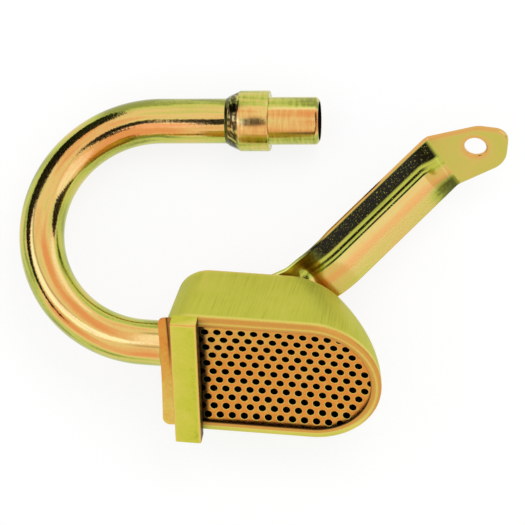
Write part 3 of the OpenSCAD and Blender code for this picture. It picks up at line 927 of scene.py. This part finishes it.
span = blunt_mid - round_mid
heading = math.degrees(math.atan2(span.y, span.x))
wedge = math.degrees(math.acos((round_r - blunt_r) / span.length))
to_start = Vector((TAB_START + 1, STAY_W / 2)) - round_mid
left_turn = math.degrees(math.atan2(to_start.y, to_start.x) - math.acos(round_r / to_start.length))
right_start = (Vector((TAB_START, -STAY_W / 2)), Vector((0, -1)))
left_start = (Vector((TAB_START, STAY_W / 2)), Vector((0, 1)))
right_arc = tab_arc(round_mid, round_r, -90, heading - wedge, RIGHT_PARTS)
nose_arc = tab_arc(blunt_mid, blunt_r, heading - wedge, heading + wedge, NOSE_PARTS)
left_arc = tab_arc(round_mid, round_r, heading + wedge, left_turn, LEFT_PARTS)
outline = [right_start] + tab_side(right_start, right_arc[0], SIDE_PARTS) + right_arc
outline += tab_side(right_arc[-1], nose_arc[0], TIP_PARTS) + nose_arc
outline += tab_side(nose_arc[-1], left_arc[0], TIP_PARTS) + left_arc
outline += tab_side(left_arc[-1], left_start, SIDE_PARTS) + [left_start]
print("tab outlined by", len(outline), "points")

# %% [markdown]
# The tab is ringed around its hole, so that hole and outline are both clean. Rings step from the
# outline to the hole, through it with a small bevel at each end, and back out underneath. Then
# strap, tab and the tab's bevelled edge are put together as one mesh, whose shared points merge.

# %% Ring the tab around its hole and join it to the strap
HOLE_EDGE, BEVEL_OUT, BEVEL_DOWN, BOLT_R = 0.4, 0.12, 0.1, 4.35
RING_STEPS = (0, 0.08, 0.16, 0.3, 0.5, 0.7, 0.85, 1)
THROUGH_HOLE = ((BEVEL_OUT, half - BEVEL_DOWN), (0, half - HOLE_EDGE), (0, HOLE_EDGE - half),
                (BEVEL_OUT, BEVEL_DOWN - half))
EDGE_STEPS = ((EDGE, half), (0, half - EDGE), (0, EDGE - half), (EDGE, -half))


def tab_at(p, n):
    return ON_BACK @ Vector((p.x, p.y, n - DROP))


def joined(*parts):
    points, faces = [], []
    for more_points, more_faces in parts:
        base = len(points)
        points += more_points
        faces += [tuple(base + v for v in face) for face in more_faces]
    return points, faces


start_line = [-STAY_W / 2 + EDGE + (STAY_W - 2 * EDGE) * w for w in widths]
edge_loop = [p - EDGE * out for p, out in outline]
edge_loop += [Vector((TAB_START, v)) for v in reversed(start_line[1:-1])]
hole_mid = Vector((TAB_HOLE_X, 0))
toward = [(p - hole_mid).normalized() for p in edge_loop]
flat = [[p.lerp(hole_mid + (BOLT_R + HOLE_EDGE) * d, k) for p, d in zip(edge_loop, toward)]
        for k in RING_STEPS]
tab_rings = [[tab_at(p, half) for p in ring] for ring in flat]
tab_rings += [[tab_at(hole_mid + (BOLT_R + r) * d, n) for d in toward] for r, n in THROUGH_HOLE]
tab_rings += [[tab_at(p, -half) for p in ring] for ring in reversed(flat)]
count = len(outline)
edge_points = [tab_at(p - inset * out, n) for inset, n in EDGE_STEPS for p, out in outline]
edge_faces = [(a * count + i, a * count + i + 1, (a + 1) * count + i + 1, (a + 1) * count + i)
              for a in range(len(EDGE_STEPS) - 1) for i in range(count - 1)]
pressing = joined((strap_points, strap_faces), loft(tab_rings, close_ends=False),
                  (edge_points, edge_faces))
print("tab ringed by", len(edge_loop), "points, pressing of", len(pressing[1]), "faces")

# %% [markdown]
# One wing of the trough is painted dark and speckled up to a clean line, a painted dark reflection,
# and two thin dark lines along the floor are painted reflections too. The other wing is painted
# gold with an orange streak. The tab is lighter, with orange around the hole and along one edge,
# and the gold wing beside the tight bend carries painted shade.

# %% Paint the stay
stay_finish = plated("bright_stay_plating", (0.50, 0.52, 0.07), (0.66, 0.48, 0.12),
                     (0.74, 0.38, 0.10), rough=0.15, up_low=0.72, up_high=0.95, up_reflection_gain=0.1,
                     grain=1500, bare=0.79)


# Painted shade on the gold wing next to the tight bend.
def fold_shade(q):
    return ease(q.x, TAB_START - 13, TAB_START - 2) * ease(-q.y, 4.5, 9)


def stay_film(p):
    q = OFF_BACK @ p
    if q.x > TAB_START:
        spot = Vector((q.x, q.y))
        from_hole = (spot - hole_mid).length - BOLT_R
        from_edge = min((spot - o).length for o, _ in outline)
        left_edge = ease(-from_edge, -2.0, -0.6) * ease(q.y, -6, 4)
        return 0.40 + 0.45 * max(ease(-from_hole, -2.4, -0.8), left_edge)
    edge = ease(abs(q.y), STAY_W / 2 - 0.9, STAY_W / 2 - 0.2)
    streaks = 0.25 * noise.noise((q.x * 0.06, q.y * 1.1, 4.0))
    orange_streak = 0.4 * ease(-q.y, 3.0, 5.6) * ease(q.y, -7.5, -6.2)
    right_wing = ease(-q.y, 1.0, 1.6) * (0.32 + orange_streak) - 0.16 * ease(-q.y, 7.0, 9.0)
    return 0.2 + right_wing + streaks + 0.6 * edge * ease(q.y, 0, 4) - 0.7 * fold_shade(q)


def line_at(v, middle, wide):
    return ease(wide - abs(v - middle), 0.0, 0.3)


def stay_reflections_and_shade(p):
    q = OFF_BACK @ p
    # A painted dark reflection on one wing and along the trough's floor, and painted shade by the
    # fold.
    on_slope = ease(q.x, -10, 4) * ease(-q.x, 0.2 - TAB_START, 2.0 - TAB_START)
    wing = ease(q.y, 3.0, 4.2) * ease(-q.y, 0.5 - STAY_W / 2, 1.1 - STAY_W / 2)
    floor_lines = max(line_at(q.y, 1.25, 0.8), line_at(q.y, -0.75, 0.55))
    floor_lines *= ease(-q.x, 6 - TAB_START, 10 - TAB_START)
    return on_slope * max(wing, floor_lines, 0.75 * fold_shade(q))


add_piece("stay_pressing", *pressing, stay_finish, "plated_stay", "stay_bracket", sharp=32,
          film=stay_film, shade_and_residue=stay_reflections_and_shade)

# %% [markdown]
# Brazing joins the tube to the cup and to the fitting. A braze runs into the corner as a small
# hollow fillet, so it is a spun profile with a slight wobble, because no joint made by hand is
# quite even.

# %% Run the braze fillets around the tube
AT_WALL = Matrix.Translation((END_X, 0, TUBE_Z)) @ Matrix.Rotation(math.pi, 4, "Z")
WALL_FILLET = [(8.9, -1.0), (12.1, -1.0), (11.9, 0.15), (10.9, 0.35), (10.1, 0.9), (9.5, 1.8),
               (9.15, 2.9), (8.9, 3.1)]
CONE_FILLET = [(8.9, 0.3), (9.9, 0.3), (9.75, -0.15), (9.35, -0.6), (9.12, -1.2), (8.9, -1.3)]
add_piece("tube_braze", *spun(WALL_FILLET, AT_WALL, 0.12), tube_finish, "plated_tube")
add_piece("cone_braze", *spun(CONE_FILLET, ON_LEG, 0.1), fitting_finish, "plated_fitting",
          shade_and_residue=lambda p: 0.7)

# %% [markdown]
# The photograph is taken almost straight down with a long lens. The camera stands where the
# strainer's holes, the loop and the stay's corners all fall on the places that the picture gives.

# %% Set the camera
lens = bpy.data.cameras.new("long_lens")
lens.sensor_width = 36
lens.lens = 240.71
lens.clip_end = 20
camera = bpy.data.objects.new("long_lens", lens)
camera.location = (0.180978, -0.150184, 1.387918)
camera.rotation_euler = [math.radians(a) for a in (6.8865, 6.8967, 4.7823)]
bpy.context.scene.collection.objects.link(camera)
bpy.context.scene.camera = camera
bpy.context.scene.view_settings.view_transform = "Standard"
print("camera at", tuple(round(v, 3) for v in camera.location))

# %% [markdown]
# Polished plating is mostly a picture of the room, and a white room shows the plating's own
# colours. The floor is white to the camera and to reflections, and keeps a shadow: its paint is
# a blend of matt white, which takes the shadow, and a plain white glow for those rays.

# %% White room and floor
BENCH_HALF, BENCH_Z, GLOW_SHARE = 6, -0.0004, 0.8
world = bpy.data.worlds.new("white_room")
bpy.context.scene.world = world
world.use_nodes = True
world.node_tree.nodes["Background"].inputs["Color"].default_value = (1, 1, 1, 1)
world.node_tree.nodes["Background"].inputs["Strength"].default_value = 1.0

floor_finish = bpy.data.materials.new("white_bench")
floor_finish.use_nodes = True
tree = floor_finish.node_tree
tree.nodes.remove(tree.nodes["Principled BSDF"])
ray = tree.nodes.new("ShaderNodeLightPath")
seen = ray.outputs["Is Camera Ray"]
for kind in ("Is Glossy Ray", "Is Transmission Ray"):
    either = tree.nodes.new("ShaderNodeMath")
    either.operation = "MAXIMUM"
    tree.links.new(seen, either.inputs[0])
    tree.links.new(ray.outputs[kind], either.inputs[1])
    seen = either.outputs[0]
share = tree.nodes.new("ShaderNodeMath")
share.operation = "MULTIPLY"
share.inputs[1].default_value = GLOW_SHARE
tree.links.new(seen, share.inputs[0])
matt = tree.nodes.new("ShaderNodeBsdfDiffuse")
matt.inputs["Color"].default_value = (0.94, 0.94, 0.94, 1)
glow = tree.nodes.new("ShaderNodeEmission")
glow.inputs["Strength"].default_value = 1.0
blend = tree.nodes.new("ShaderNodeMixShader")
tree.links.new(share.outputs[0], blend.inputs["Fac"])
tree.links.new(matt.outputs[0], blend.inputs[1])
tree.links.new(glow.outputs[0], blend.inputs[2])
tree.links.new(blend.outputs[0], tree.nodes["Material Output"].inputs["Surface"])


def stage_sheet(name, corners, faces, finish):
    mesh = bpy.data.meshes.new(name)
    mesh.from_pydata(corners, [], faces)
    sheet = bpy.data.objects.new(name, mesh)
    bpy.context.scene.collection.objects.link(sheet)
    mesh.materials.append(finish)
    sheet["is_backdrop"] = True
    return sheet


bench_corners = [(BENCH_HALF * x, BENCH_HALF * y, BENCH_Z)
                 for x, y in ((-1, -1), (1, -1), (1, 1), (-1, 1))]
stage_sheet("bench", bench_corners, [(0, 1, 2, 3)], floor_finish)
print("floor laid,", 2 * BENCH_HALF, "m wide")

# %% [markdown]
# A few cards give the streaks along the tube. They are seen in reflections only. Where must a card
# stand to draw a given streak? The line of sight to the streak is mirrored in the tube and followed
# out for a fixed distance, or down to the bench.

# %% How a card is placed
FAR, NEAR_BENCH = 1.25, 0.003


def card_paper(name, colour, strength):
    paper = bpy.data.materials.new(name)
    paper.use_nodes = True
    shader = paper.node_tree.nodes["Principled BSDF"]
    shader.inputs["Base Color"].default_value = (0.004, 0.004, 0.004, 1)
    shader.inputs["Roughness"].default_value = 0.9
    shader.inputs["Emission Color"].default_value = (*colour, 1)
    shader.inputs["Emission Strength"].default_value = strength
    return paper


def seen_in_tube(turn, side, far):
    """The place so far out, or on the bench, that the camera sees mirrored in the tube."""
    middle, along = tube_middle(turn)
    across, up = tube_sides(along)
    normal = side * across + math.sqrt(1 - side * side) * up
    spot = LAID @ (middle + TUBE_R * normal)
    normal = (LAID.to_3x3() @ normal).normalized()
    sight = (spot - camera.location).normalized().reflect(normal)
    if sight.z < 0:
        far = min(far, (NEAR_BENCH - spot.z) / sight.z)
    return spot + far * sight


def strip_card(name, places, finish, far=FAR):
    corners = [seen_in_tube(turn, side, far) for turn, *sides in places for side in sides]
    faces = [(2 * i, 2 * i + 1, 2 * i + 3, 2 * i + 2) for i in range(len(places) - 1)]
    card = stage_sheet(name, corners, faces, finish)
    card.visible_camera = False
    card.visible_diffuse = False
    card.visible_shadow = False
    card.visible_transmission = False
    print(name, "in", len(places), "places")


top_of_bend = seen_in_tube(90, 0, FAR)
print("the bend's top mirrors", tuple(round(v, 2) for v in top_of_bend))

# %% [markdown]
# Each card is a strip of places, listed as turn round the bend, inner side and outer side. Black
# cards draw the dark streaks, and bright ones, bluish like daylight, the cream wedges beside them.
# The leg's black card and the lead's pale card hang close to the part. The pale one also keeps
# the black one from being mirrored in the lead.

# %% Hang the cards around the bench
LEG_CARD_FAR, LEAD_CARD_FAR = 0.3, 0.1
black_card = card_paper("black_card", (0, 0, 0), 0)
bluish_window = card_paper("bluish_window", (0.52, 0.62, 1.0), 2.6)
pale_card = card_paper("pale_card", (0.68, 0.74, 1.0), 1.75)
strip_card("outer_black", [
    (36, 0.46, 0.50), (60, 0.46, 0.57), (80, 0.46, 0.63), (92, 0.44, 0.67), (104, 0.36, 0.70),
    (116, 0.36, 0.72), (125, 0.43, 0.74), (140, 0.44, 0.75), (152, 0.45, 0.74),
    (159, 0.52, 0.66)], black_card)
strip_card("leg_black", [
    (130, -0.05, 0.0), (140, -0.16, 0.05), (150, -0.20, 0.06), (165, -0.20, 0.05),
    (176, -0.20, 0.04), (190, -0.20, 0.03), (209, -0.19, 0.02)], black_card, far=LEG_CARD_FAR)
strip_card("inner_black", [
    (79, -0.62, -0.58), (87, -0.67, -0.47), (96, -0.67, -0.42), (100, -0.67, -0.38),
    (104, -0.67, -0.44), (110, -0.66, -0.52), (116, -0.63, -0.58)], black_card)
strip_card("outer_bright", [
    (-6, -0.02, 0.06), (15, 0.02, 0.22), (30, 0.08, 0.30), (50, 0.18, 0.38), (70, 0.30, 0.44),
    (96, 0.42, 0.44)], bluish_window)
strip_card("inner_bright", [
    (103, -0.40, -0.32), (110, -0.48, -0.22), (120, -0.52, -0.15), (130, -0.50, -0.2),
    (136, -0.40, -0.30)], pale_card)
strip_card("low_bright", [
    (28, -0.54, -0.47), (50, -0.58, -0.42), (70, -0.60, -0.43), (80, -0.56, -0.50)], pale_card)
strip_card("lead_bright", [
    (3, -0.24, -0.10), (0, -0.32, -0.02), (-4, -0.35, 0.03), (-9, -0.36, 0.05),
    (-22, -0.36, 0.05)], pale_card, far=LEAD_CARD_FAR)

# %% [markdown]
# One soft lamp from above gives the floor a soft shadow. The plating doesn't mirror it, because a
# bright patch would clip.

# %% Hang the lamp
soft_light = bpy.data.lights.new("soft_box", "AREA")
soft_light.shape = "RECTANGLE"
soft_light.size = 0.9
soft_light.size_y = 0.6
soft_light.energy = 4
lamp = bpy.data.objects.new("soft_box", soft_light)
lamp.location = (0.5, 0.6, 1.3)
lamp.rotation_euler = (-lamp.location).to_track_quat("-Z", "Y").to_euler()
lamp.visible_glossy = False
bpy.context.scene.collection.objects.link(lamp)
print("lamp", soft_light.energy, "W")

# %% [markdown]
# The dressed part has to stay the size of its solids, so both boxes are written down at the end.

# %% Write both boxes and finish
for name, (low, high) in (("solids", solid_box), ("dressed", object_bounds())):
    print(name, [round((b - a) / MM, 1) for a, b in zip(low, high)], "mm")
